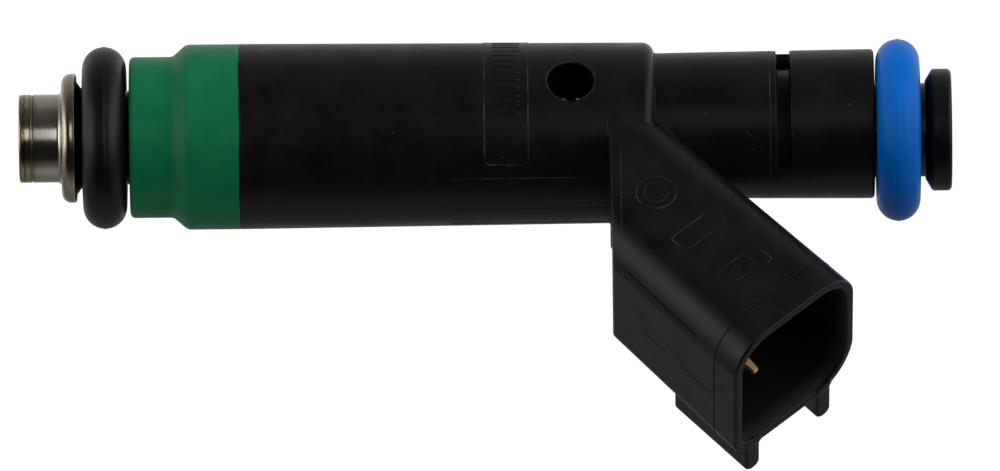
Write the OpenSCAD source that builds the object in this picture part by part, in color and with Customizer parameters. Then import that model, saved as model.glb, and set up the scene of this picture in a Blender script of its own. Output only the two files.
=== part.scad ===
// Long-body port fuel injector with a side connector.
// Millimetres. +Z runs along the injector axis from the discharge face to the
// fuel inlet, +X points to the connector side, and the origin is the centre of
// the discharge face. The body's marked side, with its round moulding hole,
// faces -Y.

/* [Nozzle end] */
// Diameter of the bare nozzle tip
tip_d = 7.07; // [6.9:0.01:7.2]
// Length of the bare nozzle tip, up to the lower retainer
tip_len = 3.4; // [3.2:0.1:3.6]
// Diameter of the lower retainer's flange
retainer_d = 10.36; // [9.6:0.02:10.8]
// Thickness of the lower retainer's flange
retainer_flange_t = 1.2; // [0.9:0.05:1.4]

/* [O-rings] */
// Outside diameter of both O-rings
ring_od = 14.6; // [14.6:0.01:14.8]
// Section diameter of both O-rings
ring_section = 3.53; // [3.4:0.01:3.54]
// Height of the lower O-ring's middle
lower_ring_z = 6.85; // [6.8:0.01:6.95]
// Height of the upper O-ring's middle
upper_ring_z = 70.56; // [70.4:0.01:70.8]

/* [Lower shell] */
// Diameter of the lower shell's nose
nose_d = 12.93; // [12.4:0.01:13.4]
// Height of the nose's front face
nose_z = 8.88; // [8.75:0.01:8.95]
// Height where the nose begins to flare
flare_z = 12.35; // [12:0.05:13]
// Length of the flare
flare_len = 1.1; // [0.5:0.1:1.2]
// Height of the joint between the lower shell and the body
joint_z = 17.75; // [17.5:0.05:18]

/* [Body] */
// Diameter of the body at its joint with the lower shell
body_d = 14.88; // [14.7:0.02:15.1]
// Diameter of the body at its shoulder
shoulder_d = 14.46; // [14.2:0.02:14.6]
// Height of the shoulder
shoulder_z = 51.0; // [50.5:0.1:51.5]
// Rounding of the shoulder
shoulder_r = 1.0; // [0.5:0.1:1.4]
// Height of the middle of the round moulding hole
hole_z = 44.3; // [43.5:0.1:45]
// Diameter of the moulding hole
hole_d = 3.7; // [3:0.1:4]

/* [Upper barrel] */
// Radius of the upper barrel above the shoulder
barrel_r_low = 5.83; // [5.7:0.01:6]
// Radius of the upper barrel at its end
barrel_r_top = 6.0; // [5.8:0.01:6.2]
// Distance from the axis to the barrel's middle, away from the connector
barrel_offset = 0.67; // [0:0.01:0.9]
// Height of the barrel's end
barrel_top_z = 68.65; // [68:0.05:68.75]
// Height of the lower side of the retaining clip's groove
groove_z = 60.8; // [60:0.1:61.5]
// Width of the clip groove
groove_w = 1.1; // [0.9:0.1:1.5]
// Radius of the clip groove's floor
groove_floor_r = 4.9; // [4.6:0.05:5.2]

/* [Inlet end] */
// Outer diameter of the inlet tube
tube_d = 7.53; // [7.5:0.01:7.54]
// Diameter of the fuel inlet bore
inlet_bore_d = 6.0; // [5.4:0.1:6.2]
// Diameter of the upper retainer
cap_d = 9.8; // [9.2:0.05:10.4]
// Height of the upper retainer's lower face
cap_z = 72.75; // [72.6:0.05:72.9]
// Overall length of the injector
total_len = 74.85; // [74.6:0.05:75.2]

/* [Connector] */
// Angle between the injector axis and the connector axis
connector_angle = 48.3; // [46:0.1:50]
// Height where the connector axis crosses the injector axis
connector_z = 41.5; // [41:0.1:42.5]
// Distance along the connector axis to the mouth
mouth_a = 30.7; // [30:0.05:32]
// Height of the connector's section, square to the connector axis
connector_h = 12.86; // [12.4:0.02:13.4]
// Width of the connector's section, across the plane of symmetry
connector_w = 14.3; // [14:0.02:14.8]
// Wall thickness of the socket
socket_wall = 0.85; // [0.7:0.05:1.2]
// Depth of the socket
socket_depth = 12.5; // [10:0.1:13.5]
// Height of the connector block's face that looks to the nozzle
block_z = 47.5; // [47:0.1:48.5]
// Distance from the plane of symmetry to the rails' tips
rail_reach = 10.3; // [9.6:0.05:10.8]
// Length of the two rails
rail_len = 8.6; // [6:0.1:10]
// Thickness of the two rails
rail_t = 1.5; // [1.2:0.1:1.8]

/* [Terminals] */
// Side of the square terminal pins
pin_t = 0.6; // [0.5:0.02:0.7]
// Distance between the two pins
pin_pitch = 5.0; // [4.6:0.1:5]
// Distance from the mouth back to the pins' tips
pin_recess = 2.85; // [2:0.05:6]

/* [Valve] */
// Lift of the needle, from its seat to the stop
lift = 0.25; // [0.1:0.01:0.35]
// Diameter of the needle
needle_d = 2.0; // [1.8:0.05:2]
// Diameter of each spray orifice
orifice_d = 0.22; // [0.15:0.01:0.3]
// Number of spray orifices
orifice_count = 4; // [2:1:8]

/* [Hidden] */
$fn = 96;

// Radii
tip_r = tip_d / 2;
tube_r = tube_d / 2;
needle_r = needle_d / 2;
cap_r = cap_d / 2;
retainer_r = retainer_d / 2;
ring_mid_r = (ring_od - ring_section) / 2;
inlet_bore_r = inlet_bore_d / 2;

// Valve group
retainer_seat_r = 3.7;           // retainer's bore on the valve body
retainer_top_z = 5.0;            // retainer stops at the valve body's step
retainer_hub_r = 4.15;
stack_r = 2.75;                  // seat, guide, disk and backup retainer
crimp_t = 0.35;                  // lip that holds the stack in the valve body
crimp_r = 1.9;                   // hole in the crimped lip
backup_t = 0.5;
disk_t = 0.15;
seat_t = 2.2;
guide_t = 0.5;
disk_z = crimp_t + backup_t;
seat_z = disk_z + disk_t;
guide_z = seat_z + seat_t;
stack_top_z = guide_z + guide_t;
seat_throat_r = 0.5;
seat_throat_t = 0.5;
seat_groove_r = 2.2;             // floor of the seat's O-ring groove
seat_groove_w = 0.6;
seat_groove_z = seat_z + 1.35;   // middle of that groove
seat_gap = 0.005;                // sealing gap kept open between solids
guide_gap = 0.02;
valve_bore_r = 2.0;
valve_top_z = 12.5;

// The seat is a 45 degree cone. A ball of needle_r touches it here.
ball_z = seat_z + seat_throat_t - seat_throat_r + needle_r * sqrt(2) + seat_gap;

// Armature and magnetic circuit
shell_r = 4.9;                   // outside of the valve body shell
shell_top_z = 18.0;
armature_r = 3.1;
armature_gap = 0.05;
armature_z = 12.9;
stop_z = 19.2;                   // inlet tube's lower face, the lift stop
armature_top_z = stop_z - lift;
sleeve_r = 3.7;                  // outside of the non-magnetic shell
sleeve_z = 16.6;
sleeve_top_z = 21.0;
armature_bore_r = armature_r + armature_gap;
spring_seat_z = 15.0;
spring_pocket_r = 1.6;
flow_hole_d = 1.0;
flow_hole_z = 16.4;
adjuster_r = 2.0;
adjuster_bore_r = 1.2;
adjuster_z = 29.6;
adjuster_len = 12.4;
housing_r = 6.6;
housing_bore_r = 6.1;
housing_z = 16.4;
housing_top_z = 32.2;
washer_t = 1.2;
bobbin_z = shell_top_z;
bobbin_top_z = housing_top_z - washer_t;
bobbin_core_r = 4.4;
bobbin_flange_t = 0.8;
winding_r = 5.9;

// Return spring
wire_d = 0.45;
spring_r = 1.25;
spring_turns = 8;
wire_sides = 6;
steps_per_turn = 14;

// Filter
filter_z = 60.0;
filter_top_z = 73.0;
filter_ring_h = 3.0;
filter_cap_h = 0.8;
screen_r = 2.2;
screen_t = 0.2;
rib_r = 2.6;
rib_w = 0.8;
wide_bore_z = 58.0;

// Lower shell
nose_r = nose_d / 2;
nose_chamfer = 0.35;
nose_wall = 0.8;
nose_bore_r = 3.8;
body_r = body_d / 2;

// Upper retainer
cap_chamfer = 0.95;
cap_chamfer_len = 0.6;
cap_mouth_r = 3.2;
tube_top_z = 74.2;

// Body details
pad_z = 37.2;                    // raised pad that carried the marking
pad_h = 3.6;
pad_angle = 110;
pad_proud = 0.09;
pad_r = shoulder_d / 2 + 0.1 + pad_proud;
side_panel_z = 34.7;             // raised panel under the connector
side_panel_angle = 50;
groove_angles = [144, 100];      // clip groove on the -Y side and on the +Y side
groove_outer_r = 8;              // past the upper barrel, short of the connector
reach = 40;                      // longer than any cut needs to be

// Connector block
corner_r = 3.5;
wide_corner_r = 4.8;
sharp_corner_r = 1.6;
rail_x = [4.45, -3.22];          // rails' middles, across the block
pin_row_x = 1.6;                 // pins' row, off the connector axis
pin_leg_x = 5.0;                 // pins' upright legs, off the injector axis
pin_knee_z = 48.6;               // where the legs turn out into the block
pin_turn_a = 13.5;               // where they turn along the connector axis
pin_taper_len = 1.0;
pin_end_t = 0.42;

// Turns and moves a shape from the connector's frame to the injector's.
// There +Z is the way out of the socket, and +Y is the rails' side.
module on_connector_axis() {
    translate([0, 0, connector_z])
        rotate([0, connector_angle, 0])
            children();
}

// A tube or disc: outer radius, inner radius, lower and upper heights.
module ring(r_out, r_in, z0, z1) {
    translate([0, 0, z0])
        difference() {
            cylinder(h = z1 - z0, r = r_out);
            if (r_in > 0)
                translate([0, 0, -1])
                    cylinder(h = z1 - z0 + 2, r = r_in);
        }
}

// A torus on the injector axis.
module torus(mid_r, section_r, z) {
    translate([0, 0, z])
        rotate_extrude()
            translate([mid_r, 0])
                circle(r = section_r);
}

// A wedge about -Y or +Y, of a full angle below 180 degrees.
module wedge(angle, side, z0, h) {
    half = angle / 2;
    translate([0, 0, z0])
        linear_extrude(h)
            polygon([[0, 0],
                     [reach * sin(half), side * reach * cos(half)],
                     [-reach * sin(half), side * reach * cos(half)]]);
}

// A rectangle with a radius for each corner:
// [+x +y, -x +y, -x -y, +x -y].
module soft_rect(size_x, size_y, radii) {
    signs = [[1, 1], [-1, 1], [-1, -1], [1, -1]];
    difference() {
        square([size_x, size_y], center = true);
        for (i = [0 : 3])
            translate([signs[i][0] * (size_x / 2 - radii[i]),
                       signs[i][1] * (size_y / 2 - radii[i])])
                mirror([signs[i][0] < 0 ? 1 : 0, 0])
                    mirror([0, signs[i][1] < 0 ? 1 : 0])
                        difference() {
                            square(radii[i] + 1);
                            circle(r = radii[i]);
                        }
    }
}

// --- Valve group ---------------------------------------------------------

module valve_body() {
    color("silver")
        rotate_extrude()
            polygon([[crimp_r, 0], [tip_r, 0],
                     [tip_r, tip_len], [retainer_seat_r, tip_len],
                     [retainer_seat_r, retainer_top_z],
                     [tube_r, retainer_top_z],
                     [tube_r, valve_top_z], [valve_bore_r, valve_top_z],
                     [valve_bore_r, stack_top_z], [stack_r, stack_top_z],
                     [stack_r, crimp_t], [crimp_r, crimp_t]]);
}

module backup_retainer() {
    color("gray")
        ring(stack_r, crimp_r, crimp_t, disk_z);
}

module orifice_disk() {
    spray_r = 0.3;
    color("lightgray")
        difference() {
            ring(stack_r, 0, disk_z, seat_z);
            for (i = [0 : orifice_count - 1])
                rotate([0, 0, 45 + i * 360 / orifice_count])
                    translate([spray_r, 0, disk_z - 1])
                        cylinder(h = 3, d = orifice_d);
        }
}

module valve_seat() {
    cone_top_r = seat_throat_r + seat_t - seat_throat_t;
    color("silver")
        rotate_extrude()
            polygon([[seat_throat_r, seat_z], [stack_r, seat_z],
                     [stack_r, seat_groove_z - seat_groove_w / 2],
                     [seat_groove_r, seat_groove_z - seat_groove_w / 2],
                     [seat_groove_r, seat_groove_z + seat_groove_w / 2],
                     [stack_r, seat_groove_z + seat_groove_w / 2],
                     [stack_r, guide_z], [cone_top_r, guide_z],
                     [seat_throat_r, seat_z + seat_throat_t]]);
}

module seat_o_ring() {
    section_r = (stack_r - seat_groove_r) / 2 - seat_gap;
    color("black")
        torus((stack_r + seat_groove_r) / 2, section_r, seat_groove_z);
}

module needle_guide() {
    color("gray")
        difference() {
            ring(stack_r, needle_r + guide_gap, guide_z, stack_top_z);
            for (i = [0 : 5])
                rotate([0, 0, i * 60])
                    translate([1.7, 0, guide_z - 1])
                        cylinder(h = 3, d = 0.6);
        }
}

module needle() {
    color("silver")
        translate([0, 0, ball_z]) {
            sphere(r = needle_r);
            cylinder(h = spring_seat_z - ball_z, r = needle_r);
        }
}

module armature() {
    color("dimgray")
        difference() {
            rotate_extrude()
                polygon([[needle_r, armature_z], [armature_r, armature_z],
                         [armature_r, armature_top_z],
                         [spring_pocket_r, armature_top_z],
                         [spring_pocket_r, spring_seat_z],
                         [needle_r, spring_seat_z]]);
            for (a = [0, 90])
                rotate([0, 0, a])
                    translate([0, 0, flow_hole_z])
                        rotate([0, 90, 0])
                            cylinder(h = 10, d = flow_hole_d, center = true);
        }
}

// The coil's centre line rises evenly between its two seats.
function spring_point(turn) =
    [spring_r * cos(360 * turn), spring_r * sin(360 * turn),
     spring_seat_z + wire_d / 2 + 0.02
     + (adjuster_z - spring_seat_z - wire_d - 0.04) * turn / spring_turns];

function wire_ring(turn) =
    let (p = spring_point(turn))
    [for (k = [0 : wire_sides - 1])
        let (t = 360 * k / wire_sides, q = wire_d / 2 * cos(t))
        [p[0] + q * cos(360 * turn), p[1] + q * sin(360 * turn),
         p[2] + wire_d / 2 * sin(t)]];

module return_spring() {
    last = spring_turns * steps_per_turn;
    n = wire_sides;
    points = [for (i = [0 : last]) each wire_ring(i / steps_per_turn)];
    sides = [for (i = [0 : last - 1], k = [0 : n - 1])
        [i * n + k, i * n + (k + 1) % n,
         (i + 1) * n + (k + 1) % n, (i + 1) * n + k]];
    near_end = [for (k = [n - 1 : -1 : 0]) k];
    far_end = [for (k = [0 : n - 1]) last * n + k];
    color("gainsboro")
        polyhedron(points, concat([near_end], sides, [far_end]));
}

module adjusting_tube() {
    color("goldenrod")
        ring(adjuster_r, adjuster_bore_r, adjuster_z,
             adjuster_z + adjuster_len);
}

module valve_body_shell() {
    color("darkgray")
        rotate_extrude()
            polygon([[tube_r, nose_z + nose_wall],
                     [shell_r, nose_z + nose_wall],
                     [shell_r, shell_top_z], [sleeve_r, shell_top_z],
                     [sleeve_r, sleeve_z], [armature_bore_r, sleeve_z],
                     [armature_bore_r, valve_top_z],
                     [tube_r, valve_top_z]]);
}

module non_magnetic_shell() {
    color("whitesmoke")
        ring(sleeve_r, armature_bore_r, sleeve_z, sleeve_top_z);
}

// --- Fuel inlet ----------------------------------------------------------

module inlet_tube() {
    color("silver")
        rotate_extrude()
            polygon([[adjuster_r, stop_z], [armature_bore_r, stop_z],
                     [armature_bore_r, sleeve_top_z],
                     [tube_r, sleeve_top_z], [tube_r, tube_top_z],
                     [inlet_bore_r, tube_top_z],
                     [inlet_bore_r, wide_bore_z],
                     [adjuster_r, wide_bore_z - inlet_bore_r + adjuster_r]]);
}

module filter_body() {
    color("darkkhaki") {
        ring(inlet_bore_r, screen_r, filter_top_z - filter_ring_h,
             filter_top_z);
        ring(rib_r, 0, filter_z, filter_z + filter_cap_h);
        for (a = [0 : 90 : 270])
            rotate([0, 0, a])
                intersection() {
                    ring(rib_r, screen_r, filter_z + filter_cap_h / 2,
                         filter_top_z - filter_ring_h / 2);
                    translate([0, -rib_w / 2, 0])
                        cube([reach, rib_w, 2 * reach]);
                }
    }
}

module filter_screen() {
    color("beige")
        ring(screen_r, screen_r - screen_t, filter_z + filter_cap_h,
             filter_top_z - filter_ring_h);
}

module upper_o_ring_retainer() {
    color("black")
        rotate_extrude()
            polygon([[tube_r, cap_z], [cap_r - cap_chamfer, cap_z],
                     [cap_r, cap_z + cap_chamfer_len], [cap_r, total_len],
                     [cap_mouth_r, total_len], [cap_mouth_r, tube_top_z],
                     [tube_r, tube_top_z]]);
}

module upper_o_ring() {
    color("dodgerblue")
        torus(ring_mid_r, ring_section / 2, upper_ring_z);
}

// --- Coil ----------------------------------------------------------------

module coil_bobbin() {
    color("tan")
        rotate_extrude()
            polygon([[tube_r, bobbin_z], [housing_bore_r, bobbin_z],
                     [housing_bore_r, bobbin_z + bobbin_flange_t],
                     [bobbin_core_r, bobbin_z + bobbin_flange_t],
                     [bobbin_core_r, bobbin_top_z - bobbin_flange_t],
                     [housing_bore_r, bobbin_top_z - bobbin_flange_t],
                     [housing_bore_r, bobbin_top_z],
                     [tube_r, bobbin_top_z]]);
}

module coil_winding() {
    color("peru")
        ring(winding_r, bobbin_core_r, bobbin_z + bobbin_flange_t,
             bobbin_top_z - bobbin_flange_t);
}

module coil_housing() {
    color("slategray")
        rotate_extrude()
            polygon([[shell_r, housing_z], [housing_r, housing_z],
                     [housing_r, housing_top_z],
                     [housing_bore_r, housing_top_z],
                     [housing_bore_r, bobbin_z], [shell_r, bobbin_z]]);
}

// The washer is open on the connector side, where the pins come through.
module flux_washer() {
    color("slategray")
        difference() {
            ring(housing_bore_r, tube_r, bobbin_top_z, housing_top_z);
            translate([pin_leg_x - pin_t, -pin_pitch / 2 - pin_t,
                       bobbin_top_z - 1])
                cube([reach, pin_pitch + 2 * pin_t, washer_t + 2]);
        }
}

// --- Terminals -----------------------------------------------------------

// Unit vector along a stretch, and the one square to it, to its right.
function along(p, q) = (q - p) / norm(q - p);
function right_of(d) = [d[1], -d[0]];

// Step from a path's bend to the same bend on an edge at distance t.
function mitre(p, q, r, t) =
    let (a = right_of(along(p, q)), b = right_of(along(q, r)))
    t * (a + b) / (1 + a * b);

// A pin stands on the bobbin, turns out into the connector block, then turns
// along the connector axis and ends tapered in the socket.
module terminal_pin(side) {
    t = pin_t / 2;
    dir = [sin(connector_angle), cos(connector_angle)];
    row = [0, connector_z] + pin_row_x * right_of(dir);
    foot = [pin_leg_x, bobbin_top_z];
    knee = [pin_leg_x, pin_knee_z];
    ankle = row + pin_turn_a * dir;
    tip = row + (mouth_a - pin_recess) * dir;
    neck = tip - pin_taper_len * dir;
    knee_step = mitre(foot, knee, ankle, t);
    ankle_step = mitre(knee, ankle, tip, t);
    tip_step = pin_end_t / 2 * right_of(dir);
    outline = [foot + [t, 0], knee + knee_step, ankle + ankle_step,
               neck + t * right_of(dir), tip + tip_step,
               tip - tip_step, neck - t * right_of(dir),
               ankle - ankle_step, knee - knee_step, foot - [t, 0]];
    translate([0, side * pin_pitch / 2, 0])
        difference() {
            rotate([90, 0, 0])
                linear_extrude(pin_t, center = true)
                    polygon(outline);
            on_connector_axis()
                for (s = [-1, 1])
                    translate([pin_row_x, 0, mouth_a - pin_recess])
                        rotate([90, 0, 90])
                            linear_extrude(2 * pin_t, center = true)
                                polygon([[s * t, -pin_taper_len],
                                         [s * pin_end_t / 2, 0],
                                         [s * pin_end_t / 2, 1],
                                         [s * 3 * t, 1],
                                         [s * 3 * t, -pin_taper_len]]);
        }
}

module terminal_pin_a() {
    color("gold") terminal_pin(-1);
}

module terminal_pin_b() {
    color("gold") terminal_pin(1);
}

// --- Plastic body --------------------------------------------------------

module lower_shell() {
    color("seagreen")
        rotate_extrude()
            polygon([[nose_bore_r, nose_z],
                     [nose_r - nose_chamfer, nose_z],
                     [nose_r, nose_z + nose_chamfer],
                     [nose_r, flare_z], [body_r, flare_z + flare_len],
                     [body_r, joint_z], [housing_r, joint_z],
                     [housing_r, housing_z], [shell_r, housing_z],
                     [shell_r, nose_z + nose_wall],
                     [nose_bore_r, nose_z + nose_wall]]);
}

// Body from the joint to the rounded shoulder.
module main_barrel() {
    shoulder_hub = shoulder_d / 2 - shoulder_r;
    rotate_extrude()
        union() {
            polygon([[0, joint_z], [body_r, joint_z],
                     [shoulder_d / 2, shoulder_z - shoulder_r],
                     [shoulder_hub, shoulder_z - shoulder_r],
                     [shoulder_hub, shoulder_z], [0, shoulder_z]]);
            intersection() {
                translate([shoulder_hub, shoulder_z - shoulder_r])
                    circle(r = shoulder_r);
                translate([shoulder_hub, shoulder_z - shoulder_r])
                    square(shoulder_r);
            }
        }
}

module upper_barrel() {
    translate([-barrel_offset, 0, shoulder_z - 1])
        cylinder(h = barrel_top_z - shoulder_z + 1,
                 r1 = barrel_r_low, r2 = barrel_r_top);
}

// Pad for the marking, left blank.
module marking_pad() {
    intersection() {
        ring(pad_r, 5, pad_z, pad_z + pad_h);
        wedge(pad_angle, -1, pad_z - 1, pad_h + 2);
    }
}

module connector_block() {
    intersection() {
        on_connector_axis() {
            linear_extrude(mouth_a)
                soft_rect(connector_h, connector_w,
                          [sharp_corner_r, wide_corner_r, corner_r, corner_r]);
            for (x = rail_x)
                rail(x);
        }
        translate([0, -reach / 2, block_z])
            cube(reach);
    }
}

// A rail that guides and keys the plug, on the connector's far side.
module rail(x) {
    translate([x, 0, mouth_a - rail_len]) {
        translate([-rail_t / 2, connector_w / 2 - 1, 0])
            cube([rail_t, rail_reach - rail_t / 2 - connector_w / 2 + 1,
                  rail_len]);
        translate([0, rail_reach - rail_t / 2, 0])
            cylinder(h = rail_len, r = rail_t / 2);
    }
}

module socket_space() {
    inner = corner_r - socket_wall;
    on_connector_axis()
        translate([0, 0, mouth_a - socket_depth])
            linear_extrude(socket_depth + 1)
                soft_rect(connector_h - 2 * socket_wall,
                          connector_w - 2 * socket_wall,
                          [sharp_corner_r - socket_wall / 2,
                           wide_corner_r - socket_wall, inner, inner]);
}

module clip_groove() {
    intersection() {
        ring(groove_outer_r, groove_floor_r, groove_z, groove_z + groove_w);
        union()
            for (side = [-1, 1])
                wedge(groove_angles[side < 0 ? 0 : 1], side, groove_z - 1, groove_w + 2);
    }
}

// Low panel on the barrel, from below the connector up to its block.
module side_panel() {
    intersection() {
        ring(pad_r, 5, side_panel_z, block_z + 1);
        rotate([0, 0, 90])
            wedge(side_panel_angle, -1, side_panel_z - 1, reach);
    }
}

module overmould_body() {
    color("dimgray")
        difference() {
            union() {
                main_barrel();
                upper_barrel();
                marking_pad();
                side_panel();
                connector_block();
            }
            // room for the coil housing and the inlet tube
            ring(housing_r, 0, joint_z - 1, housing_top_z);
            ring(tube_r, 0, housing_top_z - 1, barrel_top_z + 1);
            // moulding hole, down to the inlet tube
            translate([0, 0, hole_z])
                rotate([90, 0, 0])
                    cylinder(h = reach, d = hole_d);
            clip_groove();
            socket_space();
            terminal_pin(-1);
            terminal_pin(1);
        }
}

// --- Lower seal ----------------------------------------------------------

module lower_o_ring_retainer() {
    edge_r = 0.8;
    flange_top_z = tip_len + retainer_flange_t;
    color("gray")
        rotate_extrude()
            difference() {
                polygon([[retainer_seat_r, tip_len], [retainer_r, tip_len],
                         [retainer_r, flange_top_z],
                         [retainer_hub_r, flange_top_z],
                         [retainer_hub_r, retainer_top_z],
                         [retainer_seat_r, retainer_top_z]]);
                translate([retainer_r - edge_r, tip_len - 1])
                    difference() {
                        square([edge_r + 1, edge_r + 1]);
                        translate([0, edge_r + 1])
                            circle(r = edge_r);
                    }
            }
}

module lower_o_ring() {
    color("black")
        torus(ring_mid_r, ring_section / 2, lower_ring_z);
}

valve_body();
backup_retainer();
orifice_disk();
valve_seat();
seat_o_ring();
needle_guide();
needle();
armature();
return_spring();
adjusting_tube();
valve_body_shell();
non_magnetic_shell();
inlet_tube();
filter_body();
filter_screen();
coil_bobbin();
coil_winding();
coil_housing();
flux_washer();
terminal_pin_a();
terminal_pin_b();
lower_shell();
overmould_body();
lower_o_ring_retainer();
lower_o_ring();
upper_o_ring();
upper_o_ring_retainer();
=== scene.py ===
"""Looks of the long-body fuel injector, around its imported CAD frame.

Lengths are in millimetres in the shape code and turned into metres when a mesh is made.
The frame: +Z from the discharge face to the fuel inlet, +X to the connector, -Y to the
side with the round moulding hole.
"""
import math

import bpy
import numpy as np
from mathutils import Matrix, Vector


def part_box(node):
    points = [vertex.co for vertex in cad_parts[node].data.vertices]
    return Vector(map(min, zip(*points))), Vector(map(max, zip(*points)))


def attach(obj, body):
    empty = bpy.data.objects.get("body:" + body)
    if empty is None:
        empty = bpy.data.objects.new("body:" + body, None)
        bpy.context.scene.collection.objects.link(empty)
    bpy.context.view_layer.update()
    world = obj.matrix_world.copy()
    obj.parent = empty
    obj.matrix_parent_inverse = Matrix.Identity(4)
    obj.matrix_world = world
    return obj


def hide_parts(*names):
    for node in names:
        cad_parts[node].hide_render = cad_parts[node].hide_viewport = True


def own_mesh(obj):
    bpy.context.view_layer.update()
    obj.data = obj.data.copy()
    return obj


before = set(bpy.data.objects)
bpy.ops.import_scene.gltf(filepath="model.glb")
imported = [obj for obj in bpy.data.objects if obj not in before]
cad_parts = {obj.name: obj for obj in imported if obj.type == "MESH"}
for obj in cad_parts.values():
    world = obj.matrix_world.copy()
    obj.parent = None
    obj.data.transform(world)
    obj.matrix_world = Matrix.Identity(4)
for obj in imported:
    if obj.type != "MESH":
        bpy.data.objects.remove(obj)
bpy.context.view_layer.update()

MM = 0.001
BODY = "injector"


# --- Sizes from the frame, in mm ------------------------------------------

def span(node):
    """Lowest and highest corner of a CAD node, in mm."""
    low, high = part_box(node)
    return np.array(low) / MM, np.array(high) / MM


def bottom(node):
    """Lowest height of a node."""
    return float(span(node)[0][2])


def top(node):
    """Highest height of a node."""
    return float(span(node)[1][2])


def outer_radius(node):
    """Radius of a node that is round about the injector axis."""
    return float(span(node)[1][1])


JOINT_Z = top("lower_shell")
BARREL_TOP = top("overmould_body")
TUBE_R = outer_radius("inlet_tube")
TUBE_TOP = top("inlet_tube")
HOUSING_R = outer_radius("coil_housing")
HOUSING_TOP = top("coil_housing")
SHELL_R = outer_radius("lower_shell")

# Connector frame, as in the CAD: "a" runs out of the socket, "c" square to it in the
# symmetry plane, on the side that looks to the nozzle, and y is the rails' side.
CONNECTOR_ANGLE = math.radians(48.3)
CONNECTOR_Z = 41.5
SIN, COS = math.sin(CONNECTOR_ANGLE), math.cos(CONNECTOR_ANGLE)
MOUTH_A = 30.7
SOCKET_DEPTH = 12.5
RAIL_PLACES = (4.45, -3.22)   # along c
RIM_LINE_A = 28.05            # where the rim's slightly wider band starts

BLOCK_Z = 47.5                # the block's flat back
BLOCK_STEP_X = 6.7            # beyond it the back stands off by a hair
SHOULDER_Z = 51.0             # top of the main barrel
BARREL_R = 7.44               # main barrel at the joint
BARREL_TAPER = 0.00633        # radius lost per mm of height
UPPER_X = -0.67               # the upper barrel's middle, off the axis
UPPER_R = 5.83
UPPER_FLARE = 0.17            # how much wider the upper barrel is at its top
HOLE_Z = 44.3
HOLE_R = 1.85
GROOVE_Z = 61.35              # middle of the clip groove
GROOVE_HALF_W = 0.55
GROOVE_FLOOR_R = 4.9
GROOVE_OUTER_R = 8.0          # past the upper barrel, short of the connector
# Tangents of half the groove's angle, on the -Y side and on the +Y side.
GROOVE_REACH = math.tan(math.radians(72)), math.tan(math.radians(50))
ARC_R = 7.3                   # lengths round the main barrel are measured here


# --- Mesh helpers ---------------------------------------------------------

def make_object(name, points_mm, faces, material):
    """A mesh object from points in mm."""
    mesh = bpy.data.meshes.new(name)
    points = np.asarray(points_mm, float) * MM
    mesh.from_pydata(points.tolist(), [], [list(f) for f in faces])
    mesh.validate()
    mesh.shade_smooth()
    piece = bpy.data.objects.new(name, mesh)
    bpy.context.scene.collection.objects.link(piece)
    piece.data.materials.append(material)
    return piece


def rounded(corners):
    """Turns a closed outline of (r, z, rounding) into points, with an arc at each corner."""
    points = []
    count = len(corners)
    for i, (r, z, rounding) in enumerate(corners):
        here = np.array([r, z], float)
        if rounding <= 0:
            points.append(here)
            continue
        before = np.array(corners[i - 1][:2], float) - here
        after = np.array(corners[(i + 1) % count][:2], float) - here
        a = before / np.linalg.norm(before)
        b = after / np.linalg.norm(after)
        half = math.acos(max(-1.0, min(1.0, float(a @ b)))) / 2
        reach = rounding / math.tan(half)
        centre = here + (a + b) / np.linalg.norm(a + b) * rounding / math.sin(half)
        start = here + a * reach - centre
        end = here + b * reach - centre
        turn = math.pi - 2 * half
        steps = max(3, int(math.ceil(turn / math.radians(15))))
        for k in range(steps + 1):
            t = k / steps
            w0 = math.sin((1 - t) * turn) / math.sin(turn)
            w1 = math.sin(t * turn) / math.sin(turn)
            points.append(centre + w0 * start + w1 * end)
    return points


def lathe(name, outline, material, steps=160):
    """A closed ring: an outline of (r, z) points turned round the injector axis."""
    outline = np.asarray(outline, float)
    n = len(outline)
    points = []
    for i in range(steps):
        t = 2 * math.pi * i / steps
        points += [(r * math.cos(t), r * math.sin(t), z) for r, z in outline]
    faces = []
    for i in range(steps):
        j = (i + 1) % steps
        for k in range(n):
            m = (k + 1) % n
            faces.append((i * n + k, j * n + k, j * n + m, i * n + m))
    area = sum(outline[k][0] * outline[(k + 1) % n][1]
               - outline[(k + 1) % n][0] * outline[k][1] for k in range(n))
    if area < 0:
        faces = [f[::-1] for f in faces]
    piece = make_object(name, points, faces, material)
    # flat faces keep flat shading next to their rounded edges
    piece.modifiers.new("weighted_normals", "WEIGHTED_NORMAL").weight = 60
    return piece


def place(piece, slot, *nodes, body=BODY):
    """The piece rides on a body and stands for CAD nodes, which it hides; the slot is not used."""
    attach(piece, body)
    if nodes:
        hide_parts(*nodes)
    return piece


# --- Materials ------------------------------------------------------------

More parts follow.
